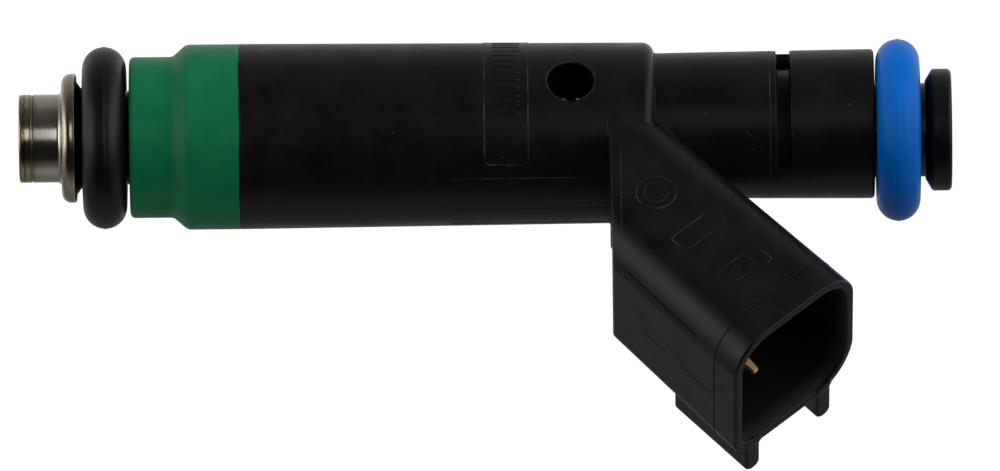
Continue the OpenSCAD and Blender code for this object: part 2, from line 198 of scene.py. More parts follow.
class Shader:
    """Builds one node material, step by step."""

    def __init__(self, name, roughness, metallic=0.0, specular=0.5):
        self.material = bpy.data.materials.new(name)
        self.material.use_nodes = True
        self.tree = self.material.node_tree
        self.surface = self.tree.nodes["Principled BSDF"]
        self.surface.inputs["Roughness"].default_value = roughness
        self.surface.inputs["Metallic"].default_value = metallic
        self.surface.inputs["Specular IOR Level"].default_value = specular
        self.place = self.node("ShaderNodeTexCoord").outputs["Object"]
        self.bump = None

    def node(self, kind, **settings):
        """A new node with these settings."""
        made = self.tree.nodes.new(kind)
        for key, value in settings.items():
            setattr(made, key, value)
        return made

    def link(self, a, b):
        self.tree.links.new(a, b)

    def math(self, operation, a, b):
        """The sum, product or such of two sockets."""
        made = self.node("ShaderNodeMath", operation=operation)
        self.link(a, made.inputs[0])
        self.link(b, made.inputs[1])
        return made.outputs[0]

    def noise(self, per_mm, detail=3.0, stretch=(1, 1, 1), roughness=0.55):
        """Noise with this many features per mm."""
        mapping = self.node("ShaderNodeMapping")
        mapping.inputs["Scale"].default_value = stretch
        self.link(self.place, mapping.inputs["Vector"])
        texture = self.node("ShaderNodeTexNoise")
        texture.inputs["Scale"].default_value = per_mm / MM
        texture.inputs["Detail"].default_value = detail
        texture.inputs["Roughness"].default_value = roughness
        self.link(mapping.outputs["Vector"], texture.inputs["Vector"])
        return texture.outputs["Fac"]

    def remap(self, value, low, high, to_low, to_high):
        ranged = self.node("ShaderNodeMapRange")
        for key, number in zip(("From Min", "From Max", "To Min", "To Max"),
                               (low, high, to_low, to_high)):
            ranged.inputs[key].default_value = number
        self.link(value, ranged.inputs["Value"])
        return ranged.outputs["Result"]

    def height(self):
        """Height above the discharge face, in metres."""
        split = self.node("ShaderNodeSeparateXYZ")
        self.link(self.place, split.inputs[0])
        return split.outputs["Z"]

    def band(self, z0, z1, fade, wander):
        """1 between two heights in mm and 0 beyond them, with an uneven edge."""
        shift = self.remap(wander, 0.3, 0.7, -fade * MM, fade * MM)
        place = self.math("ADD", self.height(), shift)
        rise = self.remap(place, (z0 - fade) * MM, z0 * MM, 0.0, 1.0)
        fall = self.remap(place, z1 * MM, (z1 + fade) * MM, 1.0, 0.0)
        return self.math("MULTIPLY", rise, fall)

    def blend(self, factor, colour_a, colour_b):
        """A colour between two, each a colour or a socket."""
        mix = self.node("ShaderNodeMix", data_type="RGBA")
        for socket, value in ((mix.inputs[6], colour_a), (mix.inputs[7], colour_b)):
            if isinstance(value, (tuple, list)):
                socket.default_value = (*value, 1.0)
            else:
                self.link(value, socket)
        self.link(factor, mix.inputs[0])
        return mix.outputs[2]

    def colour(self, socket):
        self.link(socket, self.surface.inputs["Base Color"])

    def roughness(self, socket):
        self.link(socket, self.surface.inputs["Roughness"])

    def relief(self, value, depth_mm, strength=1.0):
        """Adds fine relief, on top of what is there."""
        bump = self.node("ShaderNodeBump")
        bump.inputs["Distance"].default_value = depth_mm * MM
        bump.inputs["Strength"].default_value = strength
        self.link(value, bump.inputs["Height"])
        if self.bump is not None:
            self.link(self.bump, bump.inputs["Normal"])
        self.bump = bump.outputs["Normal"]
        self.link(self.bump, self.surface.inputs["Normal"])


def moulded_plastic(name, dark, light, roughness, grain=0.010, specular=0.2, dusty=False,
                    clouds_per_mm=0.3, edge=0.12):
    """Glass-filled moulded plastic: fine speckle, cloudy mottling and handling marks."""
    s = Shader(name, roughness, specular=specular)
    mottle = s.noise(clouds_per_mm, detail=6.0, roughness=0.62)
    speckle = s.noise(9.0, detail=2.0)
    tone = s.blend(s.remap(mottle, 0.5 - edge, 0.5 + edge, 0.0, 1.0), dark, light)
    pale = tuple(min(1.0, c * 1.6 + 0.006) for c in light)
    grained = s.blend(s.remap(speckle, 0.62, 0.8, 0.0, 0.5), tone, pale)
    if dusty:
        speck = tuple(min(1.0, c * 1.5 + 0.04) for c in light)
        specks = s.remap(s.noise(2.2, detail=1.0), 0.785, 0.80, 0.0, 0.8)
        grained = s.blend(specks, grained, speck)
    s.colour(grained)
    s.roughness(s.remap(mottle, 0.3, 0.7, roughness - 0.06, roughness + 0.08))
    s.relief(s.noise(14.0, detail=3.0), grain)
    s.relief(s.noise(1.1, detail=2.0), 0.02, 0.35)
    return s.material


def socket_plastic(name, deep, near, roughness):
    """The socket's matt walls: painted shade deep inside, and uneven painted light making them paler
    next to the mouth.
    """
    s = Shader(name, roughness, specular=0.3)
    out = s.node("ShaderNodeVectorMath", operation="DOT_PRODUCT")
    out.inputs[1].default_value = (SIN, 0.0, COS)
    s.link(s.place, out.inputs[0])
    mouth = MOUTH_A + CONNECTOR_Z * COS
    mouth_light_ramp = s.remap(out.outputs["Value"], (mouth - 1.7) * MM, (mouth + 0.1) * MM, 0.0, 1.0)
    uneven_mouth_light = s.math("MULTIPLY", mouth_light_ramp,
                   s.remap(s.noise(0.8, detail=5.0), 0.3, 0.7, 0.55, 1.0))
    s.colour(s.blend(uneven_mouth_light, deep, near))
    s.relief(s.noise(9.0, detail=3.0), 0.012)
    return s.material


def turned_steel(name, colour, roughness, ring_per_mm=14.0, depth=0.004, bands=(), metallic=1.0):
    """Lathe-turned steel: fine rings round the axis, faint staining, and bands of colour by height
    (varnish stains at the nozzle's tip, darker brown on the retainer's flange, painted shade by the
    lower seal).

    Each band is (lowest z, highest z, fade, colour), in mm.
    """
    s = Shader(name, roughness, metallic=metallic)
    rings = s.noise(1.0, detail=3.0, stretch=(0.02, 0.02, ring_per_mm))
    stain = s.noise(0.5, detail=5.0)
    worn = tuple(c * 0.72 for c in colour)
    base = s.blend(s.remap(stain, 0.42, 0.75, 0.0, 1.0), colour, worn)
    for z0, z1, fade, band_colour in bands:
        base = s.blend(s.band(z0, z1, fade, s.noise(1.6, detail=4.0)), base, band_colour)
    s.colour(base)
    s.roughness(s.remap(rings, 0.3, 0.7, roughness - 0.06, roughness + 0.1))
    s.relief(rings, depth)
    return s.material


def moulded_rubber(name, dark, light, roughness, specular=0.24):
    """Rubber: satin skin with a soft bloom and fine dust."""
    s = Shader(name, roughness, specular=specular)
    bloom = s.noise(0.35, detail=4.0)
    dust = s.noise(7.0, detail=2.0)
    tone = s.blend(s.remap(bloom, 0.3, 0.7, 0.0, 1.0), dark, light)
    pale = tuple(min(1.0, c * 1.3 + 0.008) for c in light)
    s.colour(s.blend(s.remap(dust, 0.66, 0.8, 0.0, 0.5), tone, pale))
    s.roughness(s.remap(bloom, 0.25, 0.75, roughness - 0.05, roughness + 0.06))
    s.relief(s.noise(10.0, detail=2.0), 0.006)
    return s.material


BLACK_PLASTIC = moulded_plastic("black_plastic", (0.0024, 0.0024, 0.0023),
                                (0.0052, 0.0053, 0.0050), 0.33, dusty=True, edge=0.2)
# Paler black for the mould's raised lines: part wear, part painted highlight where their edges would
# catch the light.
WORN_HIGHLIT_BLACK = moulded_plastic("worn_black_plastic_painted_highlight", (0.004, 0.004, 0.004),
                             (0.027, 0.027, 0.026), 0.42, clouds_per_mm=0.8, edge=0.06)
# The socket's walls: near-black deep inside as painted shade, paler at the mouth as painted light.
SOCKET_BLACK = socket_plastic("matt_black_plastic", (0.003, 0.003, 0.003),
                              (0.042, 0.042, 0.040), 0.55)
GROOVE_BLACK = moulded_plastic("shaded_black_plastic", (0.0008, 0.0008, 0.0008),
                               (0.0014, 0.0014, 0.0013), 0.42, specular=0.14)
# Near-black for the moulding hole and the creases: painted shade.
PAINTED_SHADE_BLACK = moulded_plastic("black_plastic_painted_shade", (0.0008, 0.0008, 0.0008),
                             (0.0012, 0.0012, 0.0012), 0.7, grain=0.002, specular=0.04)
GREEN_PLASTIC = moulded_plastic("green_plastic", (0.001, 0.113, 0.043),
                                (0.003, 0.127, 0.050), 0.36, grain=0.008, specular=0.14)
STEEL = turned_steel("stainless_steel", (0.50, 0.475, 0.43), 0.2, depth=0.001)
# The brown bands near the tip are varnish stains; the near-black band from 4.86 mm up is painted
# shade on the steel between the lower seal and the green shell.
TIP_STEEL = turned_steel("nozzle_steel", (0.52, 0.49, 0.43), 0.2, depth=0.0016, bands=(
    (-0.2, 1.15, 0.25, (0.40, 0.35, 0.27)), (-0.2, 0.12, 0.1, (0.24, 0.18, 0.10)),
    (0.38, 0.44, 0.1, (0.20, 0.14, 0.07)), (0.86, 0.92, 0.03, (0.24, 0.18, 0.10)),
    (1.10, 1.17, 0.03, (0.20, 0.14, 0.07)), (4.86, 30, 0.02, (0.004, 0.004, 0.0035))))
# A darker brown band on the flange; the near-black band from 4.5 mm up is painted shade on the hub
# between the flange and the lower seal.
RETAINER_STEEL = turned_steel("retainer_steel", (0.46, 0.43, 0.37), 0.2, depth=0.001,
                              bands=((3.62, 4.3, 0.1, (0.36, 0.31, 0.235)),
                                     (4.5, 6.0, 0.02, (0.02, 0.018, 0.016))))
BRIGHT_STEEL = turned_steel("bright_steel", (0.60, 0.58, 0.55), 0.16, depth=0.001)
# The fuel tube's steel made near-black as painted shade, where it shows in shadow by the upper seal
# and down the hole.
SHADED_TUBE_STEEL = turned_steel("steel_painted_shade", (0.07, 0.065, 0.07), 0.34, depth=0.001)
MAGNETIC_STEEL = turned_steel("magnetic_steel", (0.34, 0.33, 0.32), 0.36)
SPRING_STEEL = turned_steel("spring_steel", (0.62, 0.61, 0.60), 0.22, depth=0.002)
BRASS = turned_steel("brass", (0.68, 0.50, 0.22), 0.28)
COPPER = turned_steel("copper_wire", (0.70, 0.28, 0.12), 0.30, ring_per_mm=4.0)
BLACK_RUBBER = moulded_rubber("black_rubber", (0.0020, 0.0021, 0.0020),
                              (0.0032, 0.0034, 0.0032), 0.36)
BLUE_RUBBER = moulded_rubber("blue_rubber", (0.0, 0.106, 0.46),
                             (0.0003, 0.119, 0.50), 0.33, specular=0.10)
BOBBIN_PLASTIC = moulded_plastic("bobbin_plastic", (0.20, 0.12, 0.06),
                                 (0.24, 0.15, 0.08), 0.5)
FILTER_PLASTIC = moulded_plastic("filter_plastic", (0.55, 0.48, 0.32),
                                 (0.62, 0.55, 0.38), 0.5)
FILTER_MESH = moulded_plastic("filter_mesh", (0.70, 0.67, 0.58),
                              (0.78, 0.75, 0.66), 0.6)
PIN_METAL = turned_steel("terminal_tin", (1.0, 0.62, 0.34), 0.4, ring_per_mm=6.0,
                         depth=0.001, metallic=0.25)


# --- Signed distance shapes, in mm ----------------------------------------
# Each shape is negative inside. The round joins take true distances.

def join(a, b, r=0.0):
    """Union, with a fillet of radius r in the corner."""
    if r == 0:
        return np.minimum(a, b)
    u = np.maximum(r - a, 0)
    v = np.maximum(r - b, 0)
    return np.maximum(r, np.minimum(a, b)) - np.sqrt(u * u + v * v)


def overlap(a, b, r=0.0):
    """Intersection, with its edge rounded to radius r."""
    if r == 0:
        return np.maximum(a, b)
    u = np.maximum(r + a, 0)
    v = np.maximum(r + b, 0)
    return np.minimum(-r, np.maximum(a, b)) + np.sqrt(u * u + v * v)


def cut(a, b, r=0.0):
    """What is left of a outside b, with rounded edges."""
    return overlap(a, -b, r)


def soft_rect(x, y, half_x, half_y, radii):
    """A rectangle with its own radius at each corner: (+x +y, -x +y, -x -y, +x -y)."""
    right = np.where(y > 0, radii[0], radii[3])
    left = np.where(y > 0, radii[1], radii[2])
    r = np.where(x > 0, right, left)
    u = np.abs(x) - half_x + r
    v = np.abs(y) - half_y + r
    outside = np.sqrt(np.maximum(u, 0) ** 2 + np.maximum(v, 0) ** 2)
    return outside + np.minimum(np.maximum(u, v), 0) - r


def in_connector(x, z):
    """A point's (a, c) in the connector frame."""
    dz = z - CONNECTOR_Z
    return x * SIN + dz * COS, x * COS - dz * SIN


def from_connector(a, c, y):
    return np.stack([a * SIN + c * COS, y, CONNECTOR_Z + a * COS - c * SIN], axis=-1)


def body_radius(z):
    """Radius of the main barrel, which tapers to the shoulder."""
    return BARREL_R - BARREL_TAPER * (z - JOINT_Z)


def upper_radius(z):
    """Radius of the upper barrel, whose middle stands off the axis."""
    return UPPER_R + UPPER_FLARE * (z - SHOULDER_Z) / (BARREL_TOP - SHOULDER_Z)


def block_half_y(a):
    """Half the connector block's width, with its draft."""
    return 7.15 - 0.022 * (MOUTH_A - a)


def block_shape(a, c, y):
    """Distance to the connector block's long form, with its draft."""
    half_c = 6.43 - 0.018 * (MOUTH_A - a)
    return soft_rect(c, y, half_c, block_half_y(a), (1.6, 4.8, 3.6, 3.5))


def socket_shape(a, c, y):
    """Distance to the socket's long form, with its draft."""
    back = MOUTH_A - a
    half_c = 5.58 - 0.012 * back
    half_y = 6.30 - 0.012 * back
    return soft_rect(c, y, half_c, half_y, (1.1, 3.95, 2.8, 2.8))


def plastic_body(x, y, z):
    """Distance to the overmoulded body's surface."""
    rho = np.sqrt(x * x + y * y)
    main = overlap(rho - body_radius(z), z - SHOULDER_Z, 0.95)
    main = overlap(main, JOINT_Z - z, 0.12)
    upper = np.sqrt((x - UPPER_X) ** 2 + y * y) - upper_radius(z)
    upper = overlap(upper, z - BARREL_TOP, 0.3)
    upper = overlap(upper, SHOULDER_Z - 1 - z)
    shape = join(main, upper, 0.02)
    # connector block
    a, c = in_connector(x, z)
    block = overlap(block_shape(a, c, y), a - MOUTH_A, 0.2)
    back = BLOCK_Z - z
    ledge = overlap(back - 0.10, x - BLOCK_STEP_X)
    back = join(overlap(back, BLOCK_STEP_X - x), ledge)
    back = join(back, BLOCK_Z - z)
    block = overlap(block, back, 0.12)
    block = overlap(block, -x)
    shape = join(shape, block, 0.03)
    # rails
    for middle in RAIL_PLACES:
        rail = soft_rect(c - middle, y - 7.9, 0.75, 2.4, (0.7, 0.7, 0.1, 0.1))
        rail = overlap(rail, np.abs(a - MOUTH_A + 4.3) - 4.3, 0.25)
        shape = join(shape, rail, 0.25)
    # moulding hole
    hole = overlap(np.sqrt(x * x + (z - HOLE_Z) ** 2) - HOLE_R, y)
    shape = cut(shape, hole, 0.1)
    # clip groove, which runs further round the -Y side
    groove = overlap(GROOVE_FLOOR_R - rho, np.abs(z - GROOVE_Z) - GROOVE_HALF_W, 0.1)
    reach = np.where(y < 0, GROOVE_REACH[0], GROOVE_REACH[1])
    groove = overlap(groove, np.abs(x) - reach * np.abs(y), 0.1)
    groove = overlap(groove, rho - GROOVE_OUTER_R)
    shape = cut(shape, groove, 0.1)
    # socket
    socket = overlap(socket_shape(a, c, y), MOUTH_A - SOCKET_DEPTH - a, 0.4)
    shape = cut(shape, socket, 0.22)
    # room for the inlet tube and the coil housing
    shape = overlap(shape, TUBE_R - rho)
    housing = overlap(rho - HOUSING_R, z - HOUSING_TOP)
    return cut(shape, housing)


def gradient(field, points):
    """Direction in which the distance grows, at each point."""
    e = 0.01
    x, y, z = points.T
    return np.stack([field(x + e, y, z) - field(x - e, y, z),
                     field(x, y + e, z) - field(x, y - e, z),
                     field(x, y, z + e) - field(x, y, z - e)], axis=1) / (2 * e)


def settle(field, points, limit):
    """Moves points onto the surface, each by no more than the limit."""
    start = points.copy()
    for _ in range(4):
        g = gradient(field, points)
        size = np.maximum((g * g).sum(1), 0.2)
        points = points - g * (field(*points.T) / size)[:, None]
        moved = points - start
        length = np.maximum(np.linalg.norm(moved, axis=1), 1e-9)
        points = start + moved * np.minimum(1, limit / length)[:, None]
    return points


def surface_net(field, low, high, step):
    """Points and quads of the surface where the field is zero."""
    axes = [np.arange(a - 2 * step, b + 3 * step, step) for a, b in zip(low, high)]
    shape = [len(a) for a in axes]
    values = np.empty(shape, np.float32)
    x, y = np.meshgrid(axes[0], axes[1], indexing="ij")
    for k0 in range(0, shape[2], 16):
        z = axes[2][k0:k0 + 16]
        values[:, :, k0:k0 + 16] = field(x[:, :, None], y[:, :, None], z[None, None, :])
    inside = values < 0
    corners = np.zeros([n - 1 for n in shape], np.int8)
    for i in (0, 1):
        for j in (0, 1):
            for k in (0, 1):
                corners += inside[i:shape[0] - 1 + i, j:shape[1] - 1 + j,
                                  k:shape[2] - 1 + k]
    cells = np.argwhere((corners > 0) & (corners < 8))
    number = np.full(corners.shape, -1, np.int64)
    number[tuple(cells.T)] = np.arange(len(cells))
    origin = np.array([a[0] for a in axes])
    # start at the mean of the points where the cell's edges cross the surface
    total = np.zeros((len(cells), 3))
    hits = np.zeros(len(cells))
    for axis in range(3):
        other = [d for d in range(3) if d != axis]
        for i in (0, 1):
            for j in (0, 1):
                shift = np.zeros(3, int)
                shift[other[0]], shift[other[1]] = i, j
                p = cells + shift
                q = p.copy()
                q[:, axis] += 1
                va, vb = values[tuple(p.T)], values[tuple(q.T)]
                cross = (va < 0) != (vb < 0)
                t = np.where(cross, va / np.where(cross, va - vb, 1), 0)
                point = p.astype(float)
                point[:, axis] += t
                total += point * cross[:, None]
                hits += cross
    points = origin + step * total / hits[:, None]
    quads = []
    for axis in range(3):
        ahead = np.roll(inside, -1, axis)
        change = inside != ahead
        grid = np.argwhere(change[1:-1, 1:-1, 1:-1]) + 1
        u, v = [(1, 2), (2, 0), (0, 1)][axis]
        corner = []
        for du, dv in ((0, 0), (-1, 0), (-1, -1), (0, -1)):
            cell = grid.copy()
            cell[:, u] += du
            cell[:, v] += dv
            corner.append(number[tuple(cell.T)])
        faces = np.stack(corner, axis=1)
        flip = ~inside[tuple(grid.T)]
        faces[flip] = faces[flip][:, ::-1]
        quads.append(faces)
    return points, np.concatenate(quads)


def body_painted_zone(x, y, z):
    """Which material a face of the body has: 0 outside, 1 socket with painted light and shade, 2
    hole and 3 groove in painted shade.
    """
    a, c = in_connector(x, z)
    rho = np.sqrt(x * x + y * y)
    socket = (socket_shape(a, c, y) < 0.1) & (a < MOUTH_A - 0.2) & (a > MOUTH_A - SOCKET_DEPTH - 0.5)
    hole = (x * x + (z - HOLE_Z) ** 2 < (HOLE_R + 0.06) ** 2) & (y < 0) & (rho < 7.1)
    sunk = np.sqrt((x - UPPER_X) ** 2 + y * y) < upper_radius(z) - 0.1
    groove = (np.abs(z - GROOVE_Z) < GROOVE_HALF_W + 0.01) & sunk & (rho < 5.9)
    return np.where(socket, 1, np.where(hole, 2, np.where(groove, 3, 0)))


def sculpt(name, field, low, high, step, material, keep):
    """A mesh of a distance field, thinned where it is flat, with true normals."""
    points, quads = surface_net(field, low, high, step)
    points = settle(field, points, 0.7 * step)
    draft = make_object(name + "_draft", points, quads, material)
    thin = draft.modifiers.new("thin", "DECIMATE")
    thin.ratio = keep
    depsgraph = bpy.context.evaluated_depsgraph_get()
    mesh = bpy.data.meshes.new_from_object(draft.evaluated_get(depsgraph))
    old = draft.data
    bpy.data.objects.remove(draft)
    bpy.data.meshes.remove(old)
    count = len(mesh.vertices)
    flat = np.empty(3 * count)
    mesh.vertices.foreach_get("co", flat)
    points = settle(field, flat.reshape(-1, 3) / MM, 0.5 * step)
    mesh.vertices.foreach_set("co", (points * MM).ravel())
    mesh.update()
    mesh.name = name
    mesh.shade_smooth()
    piece = bpy.data.objects.new(name, mesh)
    bpy.context.scene.collection.objects.link(piece)
    normals = gradient(field, points)
    normals /= np.maximum(np.linalg.norm(normals, axis=1), 1e-9)[:, None]
    piece.data.normals_split_custom_set_from_vertices(normals.tolist())
    return piece


# --- Pieces ---------------------------------------------------------------

def make_body():
    """The overmoulded body, with painted shade in the hole, the groove and deep in the socket, and
    painted light at the socket's mouth.
    """
    low, high = span("overmould_body")
    step = 0.16
    piece = sculpt("body_moulding", plastic_body, low, high, step, BLACK_PLASTIC,
                   0.42)
    # near-black materials as painted shade, paler at the socket's mouth as painted light
    for finish in (SOCKET_BLACK, PAINTED_SHADE_BLACK, GROOVE_BLACK):
        piece.data.materials.append(finish)
    middles = np.empty(3 * len(piece.data.polygons))
    piece.data.polygons.foreach_get("center", middles)
    finish = body_painted_zone(*(middles.reshape(-1, 3) / MM).T)
    piece.data.polygons.foreach_set("material_index", finish.astype(np.int32))
    return place(piece, "black_plastic", "overmould_body")


def bead(points, normals, width, height, closed):
    """A fine raised line along a path on a surface, as points and faces."""
    points, normals = np.asarray(points, float), np.asarray(normals, float)
    if closed:
        ahead = np.roll(points, -1, 0) - np.roll(points, 1, 0)
    else:
        ahead = np.gradient(points, axis=0)
    side = np.cross(normals, ahead)
    side /= np.linalg.norm(side, axis=1)[:, None]
    turns = np.radians(np.linspace(-25, 205, 7))
    rings = (points[:, None] + side[:, None] * (width / 2 * np.cos(turns))[None, :, None]
             + normals[:, None] * (height * np.sin(turns))[None, :, None])
    n, k = rings.shape[:2]
    faces = []
    for i in range(n if closed else n - 1):
        j = (i + 1) % n
        for m in range(k):
            p = (m + 1) % k
            faces.append((i * k + m, i * k + p, j * k + p, j * k + m))
    if not closed:
        faces.append(list(range(k))[::-1])
        faces.append([(n - 1) * k + m for m in range(k)])
    return rings.reshape(-1, 3), faces


def gather(name, lines, material, slot="black_plastic"):
    """One piece from many beads: each line's path, width and height, and whether it closes."""
    points, faces, count = [], [], 0
    for path, size, closed in lines:
        bead_points, bead_faces = bead(*path, *size, closed)
        points.append(bead_points)
        faces += [tuple(v + count for v in f) for f in bead_faces]
        count += len(bead_points)
    return place(make_object(name, np.concatenate(points), faces, material), slot)


def rounded_path(corners, r, per_corner=6, spacing=0.4):
    """A closed path with rounded corners through 2-D points."""
    path = []
    count = len(corners)
    for i in range(count):
        here = np.array(corners[i], float)
        before = np.array(corners[i - 1], float) - here
        after = np.array(corners[(i + 1) % count], float) - here
        inset = after / np.linalg.norm(after) * r
        start = here + before / np.linalg.norm(before) * r
        end = here + inset
        for t in np.linspace(0, 1, per_corner + 1):
            path.append((1 - t) ** 2 * start + 2 * t * (1 - t) * here + t * t * end)
        stop = here + after - inset
        steps = max(1, int(np.linalg.norm(stop - end) / spacing))
        for t in np.linspace(0, 1, steps + 1)[1:-1]:
            path.append(end + (stop - end) * t)
    return np.array(path)


def circle_path(u, v, r, steps=48):
    """A circle about (u, v)."""
    turn = np.linspace(0, 2 * math.pi, steps, endpoint=False)
    return np.stack([u + r * np.cos(turn), v + r * np.sin(turn)], axis=1)


def line_path(points, spacing=0.4):
    """Straight stretches between points, cut into short steps."""
    path = []
    for p, q in zip(points[:-1], points[1:]):
        p, q = np.array(p, float), np.array(q, float)
        steps = max(2, int(np.linalg.norm(q - p) / spacing))
        path += [p + (q - p) * t for t in np.linspace(0, 1, steps + 1)[:-1]]
    return np.array(path + [np.array(points[-1], float)])


def on_round(turn, z, r, centre_x=0.0):
    """Points and normals at angles from -Y to +X and heights on a round barrel."""
    normals = np.stack([np.sin(turn), -np.cos(turn), 0 * turn], axis=1)
    points = normals * r[:, None] + np.array([centre_x, 0, 0])
    points[:, 2] = z
    return points, normals


def on_barrel(path):
    """(arc length from the -Y line, height) to points and normals on the main barrel."""
    arc, z = path.T
    return on_round(arc / ARC_R, z, body_radius(z))


def on_upper_barrel(path):
    """(degrees from -Y to +X, height) to points and normals on the upper barrel."""
    degrees, z = path.T
    return on_round(np.radians(degrees), z, upper_radius(z), UPPER_X)


def edge_of(field, inner, outer):
    """Where a field turns from inside to outside, between two sets of values."""
    for _ in range(40):
        middle = (inner + outer) / 2
        inside = field(middle) < 0
        inner, outer = np.where(inside, middle, inner), np.where(inside, outer, middle)
    return inner


def block_normals(points):
    """Directions straight out of the connector block."""
    normals = gradient(lambda x, y, z: block_shape(*in_connector(x, z), y), points)
    return normals / np.linalg.norm(normals, axis=1)[:, None]


def on_block(x, z):
    """Points and normals on the connector block's -Y side, at these x and z."""
    a, c = in_connector(x, z)
    y = edge_of(lambda y: block_shape(a, c, y), np.full(len(x), -1.0), np.full(len(x), -9.0))
    points = np.stack([x, y, z], axis=1)
    return points, block_normals(points)


def on_near_face(path):
    """(a, c) to points on the connector's -Y side."""
    a, c = path.T
    return on_block(a * SIN + c * COS, CONNECTOR_Z + a * COS - c * SIN)


def on_low_face(path):
    """(a, y) to points on the connector's side that looks to the nozzle."""
    a, y = path.T
    c = edge_of(lambda c: block_shape(a, c, y), np.full(len(a), 2.0), np.full(len(a), 9.0))
    points = from_connector(a, c, y)
    return points, block_normals(points)


def round_block(a, steps=200):
    """Points and normals round the connector block at one distance along it."""
    turn = np.linspace(0, 2 * math.pi, steps, endpoint=False)
    c_way, y_way = np.cos(turn), np.sin(turn)
    reach = edge_of(lambda reach: block_shape(a, reach * c_way, reach * y_way),
                    np.zeros(steps), np.full(steps, 12.0))
    points = from_connector(np.full(steps, float(a)), reach * c_way, reach * y_way)
    return points, block_normals(points)


def round_axis(r, z, centre_x=0.0, steps=160):
    """Points and normals round a circle square to the injector axis."""
    turn = np.linspace(0, 2 * math.pi, steps, endpoint=False)
    normals = np.stack([np.cos(turn), np.sin(turn), 0 * turn], axis=1)
    points = normals * r + np.array([centre_x, 0, 0])
    points[:, 2] = z
    return points, normals


def make_mould_lines():
    """Raised outlines and parting lines that the mould left, paler as part wear and part painted
    highlight, and creases drawn near-black as painted shade.
    """
    hair, fine, mark = (0.05, 0.02), (0.08, 0.03), (0.12, 0.04)
    # a plain pad across the barrel, and the low panel under the connector
    reach = ARC_R * math.radians(56)
    pad = rounded_path([(-reach, 37.35), (reach, 37.35), (reach, 40.85), (-reach, 40.85)],
                       0.5)
    side, wide = ARC_R * math.radians(90), ARC_R * math.radians(24.6)
    panel_edges = [[(side + way * (wide - 0.3), 34.68), (side + way * wide, 34.95),
                    (side + way * wide, 47.3)] for way in (-1, 1)]
    scratch = line_path([(40.8, 58.3), (47, 58.85)], 0.2)
    # generic outlines on the connector
    window = rounded_path([(18.68, -2.05), (20.42, -2.05), (20.42, 2.42), (18.68, 2.42)],
                          0.25)
    box = rounded_path([(23.7, -0.85), (25.4, -0.85), (25.4, 2.3), (23.7, 2.3)], 0.5)
    bracket = line_path([(23.62, -1.3), (23.85, -2.1), (25.6, -2.13), (25.7, -1.5)], 0.2)
    # back edge of the block, the mould line beside it and flash where it leaves the barrel
    edge_x, line_x = np.linspace(6.6, 14.6, 24), np.linspace(2.6, 15.2, 40)
    line_z = 47.47 + 0.03 * np.sin(5.3 * line_x) * np.sin(1.7 * line_x)
    flash = line_path([(3.6, 47.22), (4.3, 47.3), (4.9, 47.26)], 0.15)
    gather("mould_lines", [
        (on_barrel(pad), mark, True),
        *[(on_barrel(line_path(edge)), fine, False) for edge in panel_edges],
        (on_barrel(circle_path(0, HOLE_Z, HOLE_R + 0.13)), fine, True),
        (round_axis(upper_radius(60.25), 60.25, UPPER_X), fine, True),
        (on_upper_barrel(scratch), fine, False),
        (on_near_face(circle_path(14.47, 0.15, 1.6)), mark, True),
        (on_near_face(circle_path(14.47, 0.15, 0.95)), hair, True),
        (on_near_face(window), mark, True),
        (on_near_face(box), fine, True),
        (on_near_face(circle_path(24.55, 0.7, 0.32, 24)), hair, True),
        (on_near_face(bracket), fine, False),
        (on_block(edge_x, np.full(24, 48.22)), fine, False),
        (on_block(line_x, line_z), hair, False),
        (on_block(np.array([10.8, 11.0, 11.1]), np.array([48.3, 48.5, 48.75])), fine, False),
        (on_barrel(flash), (0.14, 0.05), False)], WORN_HIGHLIT_BLACK)
    # the rim's band, and a plain ladder of ribs in place of the marking
    gather("moulded_ribs", [
        (round_block(RIM_LINE_A), (0.10, 0.03), True),
        (on_near_face(line_path([(RIM_LINE_A, 0.9), (30.5, 0.9)])), fine, False),
        *[(on_barrel(line_path([(u, 38.0), (u, 40.2)])), mark, False)
          for u in np.arange(-6.0, 3.1, 0.75)]], BLACK_PLASTIC)
    # creases and dark lines as near-black beads: painted shade where steps and corners fall into
    # shadow
    gather("creases_painted_shade", [
        (round_block(RIM_LINE_A + 0.11), (0.06, 0.012), True),
        (on_barrel(line_path([(side + 0.21, 34.9), (side + 0.21, 47.5)])), (0.06, 0.012),
         False),
        (on_low_face(line_path([(17.4, -4.5), (25.7, -4.5)])), (0.12, 0.012), False),
        (on_low_face(line_path([(19.8, 1.3), (22.4, 1.25)])), (0.10, 0.012), False),
        (on_low_face(line_path([(23.9, 1.2), (27.9, 1.2)])), (0.10, 0.012), False)],
        PAINTED_SHADE_BLACK)


def make_joint_flash():
    """Uneven flash of black over the green at the joint."""
    points, normals = round_axis(SHELL_R - 0.02, JOINT_Z, steps=240)
    turn = np.arctan2(normals[:, 1], normals[:, 0])
    for waves, size, phase in ((5, 0.035, 0.4), (13, 0.03, 1.9), (29, 0.02, 0.7)):
        points[:, 2] += size * np.sin(waves * turn + phase)
    gather("joint_flash", [((points, normals), (0.16, 0.02), True)], BLACK_PLASTIC)


def make_hole_glints():
    """Two bright bits of metal on the fuel tube, seen down the moulding hole."""
    bits = []
    for z, size in ((HOLE_Z - 0.62, 0.2), (HOLE_Z + 0.55, 0.24)):
        path = np.array([(-0.42, -4.12, z + t * size) for t in (-1, -0.4, 0.4, 1)])
        normals = np.tile([0.0, -1.0, 0.0], (4, 1))
        bits.append(((path, normals), (0.34, 0.1), False))
    gather("hole_glints", bits, BRIGHT_STEEL, "stainless_steel")


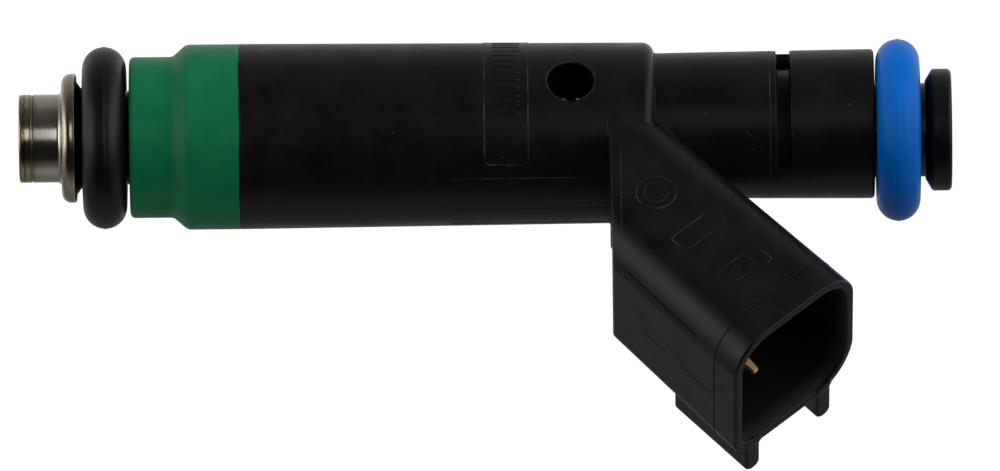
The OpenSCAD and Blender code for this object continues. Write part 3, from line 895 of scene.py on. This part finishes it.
def make_lower_shell():
    """The green shell, whose nose flares out to the barrel's width."""
    z0, z1 = bottom("lower_shell"), top("lower_shell")
    nose_r, flare = 6.465, 12.35
    outline = rounded([
        (3.8, z0, 0.1), (nose_r, z0, 0.4), (nose_r, flare, 0.6),
        (SHELL_R, flare + 1.1, 0.8), (SHELL_R, z1, 0.12),
        (HOUSING_R, z1, 0), (HOUSING_R, bottom("coil_housing"), 0),
        (4.9, bottom("coil_housing"), 0), (4.9, z0 + 0.8, 0), (3.8, z0 + 0.8, 0)])
    return place(lathe("green_shell", outline, GREEN_PLASTIC, 192),
                 "green_plastic", "lower_shell")


def ring_outline(middle_r, section_r, z, flash=0.035, width=0.09):
    """A seal's round section, with the mould's flash line at its outer edge."""
    angles = [math.radians(a) for a in np.linspace(3, 357, 96)]
    angles += [math.radians(a) for a in (358, 358.8, 359.4, 0, 0.6, 1.2, 2)]
    points = []
    for t in angles:
        off = section_r * math.sin(t)
        r = section_r
        if math.cos(t) > 0:
            r += flash * math.exp(-(off / width) ** 2)
        points.append((middle_r + r * math.cos(t), z + r * math.sin(t)))
    return points


def make_seals():
    """Both O-rings."""
    for node, name, material, slot in (
            ("lower_o_ring", "lower_seal_ring", BLACK_RUBBER, "black_rubber"),
            ("upper_o_ring", "upper_seal_ring", BLUE_RUBBER, "blue_rubber")):
        low, high = span(node)
        section_r = (high[2] - low[2]) / 2
        middle_r = high[1] - section_r
        outline = ring_outline(middle_r, section_r, (low[2] + high[2]) / 2)
        place(lathe(name, outline, material, 192), slot, node)


def make_lower_retainer():
    """The steel ring under the lower O-ring: a flange and a sleeve."""
    z0, z1 = bottom("lower_o_ring_retainer"), top("lower_o_ring_retainer")
    r = outer_radius("lower_o_ring_retainer")
    outline = rounded([
        (3.7, z0, 0.05), (r, z0, 0.75), (r, z0 + 1.2, 0.22),
        (4.55, z0 + 1.22, 0.3), (4.05, z0 + 1.55, 0.1), (4.05, z1, 0.05), (3.7, z1, 0)])
    return place(lathe("lower_retainer_ring", outline, RETAINER_STEEL, 160),
                 "stainless_steel", "lower_o_ring_retainer")


def make_nozzle():
    """The valve body: a bare tip with a fine groove, a fillet and a crimped lip."""
    z1 = top("valve_body")
    r = 3.535
    outline = rounded([
        (1.9, 0, 0.12), (r, 0, 0.22),
        (r, 0.98, 0.02), (r - 0.07, 1.01, 0.02), (r - 0.07, 1.09, 0.02), (r, 1.12, 0.02),
        *[(r + 0.36 * (1 - math.cos(t)), 3.04 + 0.355 * math.sin(t), 0)
          for t in np.linspace(0, math.pi / 2, 9)], (3.7, 3.4, 0), (3.7, 5.0, 0),
        (TUBE_R, 5.0, 0.05), (TUBE_R, z1, 0), (2.0, z1, 0), (2.0, 3.7, 0),
        (2.75, 3.7, 0), (2.75, 0.35, 0), (1.9, 0.35, 0.1)])
    return place(lathe("nozzle_tube", outline, TIP_STEEL, 192),
                 "stainless_steel", "valve_body")


def make_inlet_tube():
    """The steel tube through the body, with the step of its filter bore."""
    stop_gap = 0.02  # keeps the lifted armature's face just clear of the tube's end
    z0, z1 = bottom("inlet_tube") + stop_gap, TUBE_TOP
    outline = rounded([
        (2.0, z0, 0.1), (3.15, z0, 0.1), (3.15, 21.0, 0), (TUBE_R, 21.0, 0.2),
        (TUBE_R, z1, 0.15), (3.0, z1, 0.15), (3.0, 58.0, 0), (2.0, 57.0, 0)])
    return place(lathe("fuel_tube", outline, SHADED_TUBE_STEEL, 160),
                 "stainless_steel", "inlet_tube")


def make_cap():
    """The cap that keeps the upper O-ring on."""
    z0, z1 = bottom("upper_o_ring_retainer"), top("upper_o_ring_retainer")
    r = outer_radius("upper_o_ring_retainer")
    outline = rounded([
        (TUBE_R, z0, 0.05), (TUBE_R + 0.2, z0, 0.06), (r, z0 + 0.55, 0.3), (r, z1, 0.35),
        (3.2, z1, 0.2), (3.2, TUBE_TOP, 0), (TUBE_R, TUBE_TOP, 0)])
    return place(lathe("inlet_cap", outline, BLACK_PLASTIC, 160),
                 "black_plastic", "upper_o_ring_retainer")


def make_spring():
    """The return spring, with closed end turns."""
    wire_r, middle_r = 0.225, 1.25
    z0, z1 = bottom("return_spring"), top("return_spring")
    turns, sides, steps = 9.5, 12, 28
    count = int(turns * steps)
    rise_from, rise_to = 1.0, turns - 1.0
    points = []
    for i in range(count + 1):
        turn = i / steps
        share = min(1, max(0, (turn - rise_from) / (rise_to - rise_from)))
        closed = min(turn, rise_from) + max(0, turn - rise_to)
        end_rise = 2 * wire_r * 0.98
        free = z1 - z0 - 2 * wire_r - 2 * end_rise
        z = z0 + wire_r + closed * end_rise + share * free
        t = 2 * math.pi * turn
        for k in range(sides):
            w = 2 * math.pi * k / sides
            r = middle_r + wire_r * math.cos(w)
            points.append((r * math.cos(t), r * math.sin(t), z + wire_r * math.sin(w)))
    faces = []
    for i in range(count):
        for k in range(sides):
            m = (k + 1) % sides
            a, b = i * sides, (i + 1) * sides
            faces.append((a + k, b + k, b + m, a + m)[::-1])
    faces.append(list(range(sides)))
    faces.append([count * sides + k for k in range(sides)][::-1])
    piece = make_object("closing_spring", points, faces, SPRING_STEEL)
    place(piece, "spring_steel", "return_spring")
    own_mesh(piece)
    return piece


def make_winding():
    """Wire turns laid side by side on the bobbin."""
    low, high = span("coil_winding")
    outer, inner = high[1], 4.4
    turns = 46
    pitch = (high[2] - low[2]) / turns
    wire_r = pitch / 2
    outline = [(inner, high[2]), (inner, low[2])]
    for i in range(turns):
        middle = low[2] + (i + 0.5) * pitch
        for k in range(5):
            t = math.radians(-90 + 180 * k / 5)
            outline.append((outer - wire_r + wire_r * math.cos(t),
                            middle + wire_r * math.sin(t)))
    return place(lathe("copper_turns", outline, COPPER, 96),
                 "copper_wire", "coil_winding")


def make_screen():
    """The filter's woven screen: a lattice of wires on a tube."""
    low, high = span("filter_screen")
    r = high[1] - 0.08
    around, rows = 48, 40
    points = [(r * math.cos(2 * math.pi * i / around), r * math.sin(2 * math.pi * i / around),
               low[2] + 0.06 + (high[2] - low[2] - 0.12) * j / rows)
              for j in range(rows + 1) for i in range(around)]
    faces = [(j * around + i, j * around + (i + 1) % around,
              (j + 1) * around + (i + 1) % around, (j + 1) * around + i)
             for j in range(rows) for i in range(around)]
    piece = make_object("screen_mesh", points, faces, FILTER_MESH)
    wires = piece.modifiers.new("wires", "WIREFRAME")
    wires.thickness = 0.07 * MM
    return place(piece, "filter_mesh", "filter_screen")


def finish_cad_nodes():
    """Pieces whose CAD shape is right keep it, with broken edges and a finish."""
    looks = {
        "backup_retainer": STEEL, "orifice_disk": BRIGHT_STEEL, "valve_seat": STEEL,
        "seat_o_ring": BLACK_RUBBER, "needle_guide": STEEL, "needle": BRIGHT_STEEL,
        "armature": MAGNETIC_STEEL, "adjusting_tube": BRASS,
        "valve_body_shell": STEEL, "non_magnetic_shell": BRIGHT_STEEL,
        "filter_body": FILTER_PLASTIC, "coil_bobbin": BOBBIN_PLASTIC,
        "coil_housing": MAGNETIC_STEEL, "flux_washer": MAGNETIC_STEEL,
        "terminal_pin_a": PIN_METAL, "terminal_pin_b": PIN_METAL}
    edge = {"orifice_disk": 0.01, "terminal_pin_a": 0.04, "terminal_pin_b": 0.04}
    for node, material in looks.items():
        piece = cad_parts[node]
        piece.data.materials.clear()
        piece.data.materials.append(material)
        if node != "seat_o_ring":
            bevel = piece.modifiers.new("broken_edges", "BEVEL")
            bevel.width = edge.get(node, 0.05) * MM
            bevel.segments = 2
            bevel.limit_method = "ANGLE"
            bevel.angle_limit = math.radians(40)
            bevel.use_clamp_overlap = True


# --- Stage ----------------------------------------------------------------

AXIS = Vector((0, 0, 1))
VIEW_AZIMUTH = math.radians(36)
FLOOR_DROP = 30 * MM
FLOOR_R = 0.35
# Brightness of the tent round the injector axis, by angle above the camera's direction.
TENT_LEVELS = ((-180, 0.5), (-150, 0.2), (-121, 0.22), (-95, 0.34), (-78, 0.15), (-58, 0.015),
               (-25, 0.012), (-8, 0.015), (10, 0.03), (40, 0.06), (59, 0.09),
               (78, 0.13), (100, 0.31), (128, 0.45), (150, 0.6), (180, 0.8))
# Softboxes beyond the two ends, by the shares of the direction along the axis, above it
# and toward the camera.
TIP_END_LEVELS = ((-1.0, 1.3), (-0.96, 2.2), (-0.88, 2.4), (-0.8, 1.3), (-0.72, 0.2),
                  (-0.62, 0.0), (1.0, 0.0))
TIP_END_HEIGHTS = ((-1.0, 0.03), (-0.5, 0.06), (-0.3, 0.2), (-0.14, 0.95), (0.26, 1.0),
                   (0.4, 0.5), (0.55, 0.25), (1.0, 0.1))
INLET_END_LEVELS = ((-1.0, 0.0), (0.4, 0.0), (0.5, 0.9), (0.62, 1.9), (0.82, 1.9),
                    (0.92, 1.0), (1.0, 0.8))
INLET_END_HEIGHTS = ((-1.0, 0.03), (-0.5, 0.08), (-0.25, 0.3), (-0.1, 0.9), (0.55, 1.0),
                     (0.75, 0.4), (1.0, 0.2))
END_FRONT_LEVELS = ((-1.0, 0.12), (-0.5, 0.14), (-0.2, 0.3), (0.08, 1.0), (1.0, 1.0))
END_STRENGTH = 1.2
FILL_TURN = math.radians(68)
FILL_LEVEL = 2.5
PANEL_TURN = math.radians(11)
PANEL_DISTANCE = 60 * MM
PANEL_WIDTH = 26 * MM
# Small panels over the two ends: lowest z, highest z and level.
PANELS = {"panel_tip": (-4.5, 4.1, 2.5), "panel_inlet": (40, 77, 0.65)}
TENT_COLOUR = (1.0, 0.985, 0.95, 1.0)


def make_floor():
    """A round sheet of pale paper under the part."""
    steps = 96
    ring = [(math.cos(2 * math.pi * i / steps) * FLOOR_R / MM,
             math.sin(2 * math.pi * i / steps) * FLOOR_R / MM, -FLOOR_DROP / MM)
            for i in range(steps)]
    s = Shader("floor_paper", 0.8)
    s.colour(s.blend(s.noise(0.01), (0.86, 0.86, 0.86), (0.9, 0.9, 0.9)))
    floor = make_object("floor", ring, [list(range(steps))], s.material)
    floor.visible_glossy = False  # the tent alone shows in the metal and the gloss


def make_world(back, up, right):
    """A white tent, dim round the camera, with a softbox beyond each end of the part."""
    world = bpy.data.worlds.new("tent")
    bpy.context.scene.world = world
    world.use_nodes = True
    tree = world.node_tree
    tree.nodes.clear()
    link = tree.links.new
    direction = tree.nodes.new("ShaderNodeTexCoord").outputs["Generated"]

    def toward(axis):
        dot = tree.nodes.new("ShaderNodeVectorMath")
        dot.operation = "DOT_PRODUCT"
        dot.inputs[1].default_value = axis
        link(direction, dot.inputs[0])
        return dot.outputs["Value"]

    def math_node(operation, a, b=None):
        made = tree.nodes.new("ShaderNodeMath")
        made.operation = operation
        for socket, value in zip(made.inputs, (a, b)):
            if value is None:
                continue
            if isinstance(value, (int, float)):
                socket.default_value = value
            else:
                link(value, socket)
        return made.outputs[0]

    def ramp(value, stops):
        """Grey levels at angles or positions, with straight lines between them."""
        first, last = stops[0][0], stops[-1][0]
        share = math_node("DIVIDE", math_node("SUBTRACT", value, first), last - first)
        made = tree.nodes.new("ShaderNodeValToRGB")
        elements = made.color_ramp.elements
        for place, level in stops[1:-1]:
            elements.new((place - first) / (last - first)).color = (level, level, level, 1.0)
        for element, (place, level) in ((elements[0], stops[0]), (elements[-1], stops[-1])):
            element.color = (level, level, level, 1.0)
        link(share, made.inputs[0])
        return made.outputs[0]

    above, ahead, along = toward(up), toward(back), toward(right)
    turn = math_node("MULTIPLY", math_node("ARCTAN2", above, ahead), 180 / math.pi)
    tent = ramp(turn, TENT_LEVELS)
    tip_end = math_node("MULTIPLY", ramp(along, TIP_END_LEVELS), ramp(above, TIP_END_HEIGHTS))
    inlet_end = math_node("MULTIPLY", ramp(along, INLET_END_LEVELS),
                          ramp(above, INLET_END_HEIGHTS))
    ends = math_node("MULTIPLY", math_node("ADD", tip_end, inlet_end),
                     ramp(ahead, END_FRONT_LEVELS))
    total = math_node("ADD", tent, math_node("MULTIPLY", ends, END_STRENGTH))
    glow = tree.nodes.new("ShaderNodeBackground")
    glow.inputs["Color"].default_value = TENT_COLOUR
    link(total, glow.inputs["Strength"])
    seen = tree.nodes.new("ShaderNodeBackground")
    seen.inputs["Color"].default_value = (1, 1, 1, 1)
    seen.inputs["Strength"].default_value = 1.05
    rays = tree.nodes.new("ShaderNodeLightPath")
    mix = tree.nodes.new("ShaderNodeMixShader")
    link(rays.outputs["Is Camera Ray"], mix.inputs[0])
    link(glow.outputs[0], mix.inputs[1])
    link(seen.outputs[0], mix.inputs[2])
    output = tree.nodes.new("ShaderNodeOutputWorld")
    link(mix.outputs[0], output.inputs[0])


def make_panel(name, direction, distance, across, along, level, centre, gloss=True):
    """A soft panel that faces the part; its size is in metres and its level that of the tent."""
    data = bpy.data.lights.new(name, "AREA")
    data.shape = "RECTANGLE"
    data.size, data.size_y = across, along
    data.energy = level * math.pi * across * along
    lamp = bpy.data.objects.new(name, data)
    bpy.context.scene.collection.objects.link(lamp)
    lamp.location = centre + direction * distance
    lamp.rotation_mode = "QUATERNION"
    lamp.rotation_quaternion = (-direction).to_track_quat("-Z", "Y")
    lamp.visible_camera = False
    lamp.visible_glossy = gloss


def make_camera():
    """A camera 1.8 m away, level with the injector and rolled on its side.

    Gives the directions back to the camera, up and right in its view, and what it faces.
    """
    distance = 1.8
    frame_width = 80.32 * MM
    roll = math.radians(0.577)
    middle_z = 38.52 * MM
    below_axis = 8.15 * MM
    sin, cos = math.sin(VIEW_AZIMUTH), math.cos(VIEW_AZIMUTH)
    back = Vector((sin, -cos, 0))
    across = Vector((-cos, -sin, 0))
    right = AXIS * math.cos(roll) - across * math.sin(roll)
    up = across * math.cos(roll) + AXIS * math.sin(roll)
    centre = AXIS * middle_z - across * below_axis
    data = bpy.data.cameras.new("camera")
    data.sensor_width = 36
    data.lens = 36 * distance / frame_width
    data.clip_start, data.clip_end = 0.05, 20
    camera = bpy.data.objects.new("camera", data)
    bpy.context.scene.collection.objects.link(camera)
    camera.matrix_world = Matrix.LocRotScale(
        centre + back * distance,
        Matrix((right, up, back)).transposed().to_quaternion(), None)
    bpy.context.scene.camera = camera
    return back, up, right, centre


def make_lights(back, up, right, centre):
    """The tent, a small panel over each end and a broad soft one overhead."""
    make_world(back, up, right)
    ahead = back * math.cos(PANEL_TURN) + up * math.sin(PANEL_TURN)
    for name, (z0, z1, level) in PANELS.items():
        make_panel(name, ahead, PANEL_DISTANCE, PANEL_WIDTH, (z1 - z0) * MM, level,
                   AXIS * (z0 + z1) / 2 * MM)
    overhead = back * math.cos(FILL_TURN) + up * math.sin(FILL_TURN)
    make_panel("fill", overhead, 0.6, 0.5, 0.7, FILL_LEVEL, centre, gloss=False)
    bpy.context.scene.view_settings.view_transform = "Standard"


make_lights(*make_camera())
make_floor()
make_body()
make_mould_lines()
make_joint_flash()
make_hole_glints()
make_lower_shell()
make_seals()
make_lower_retainer()
make_nozzle()
make_inlet_tube()
make_cap()
make_spring()
make_winding()
make_screen()
finish_cad_nodes()
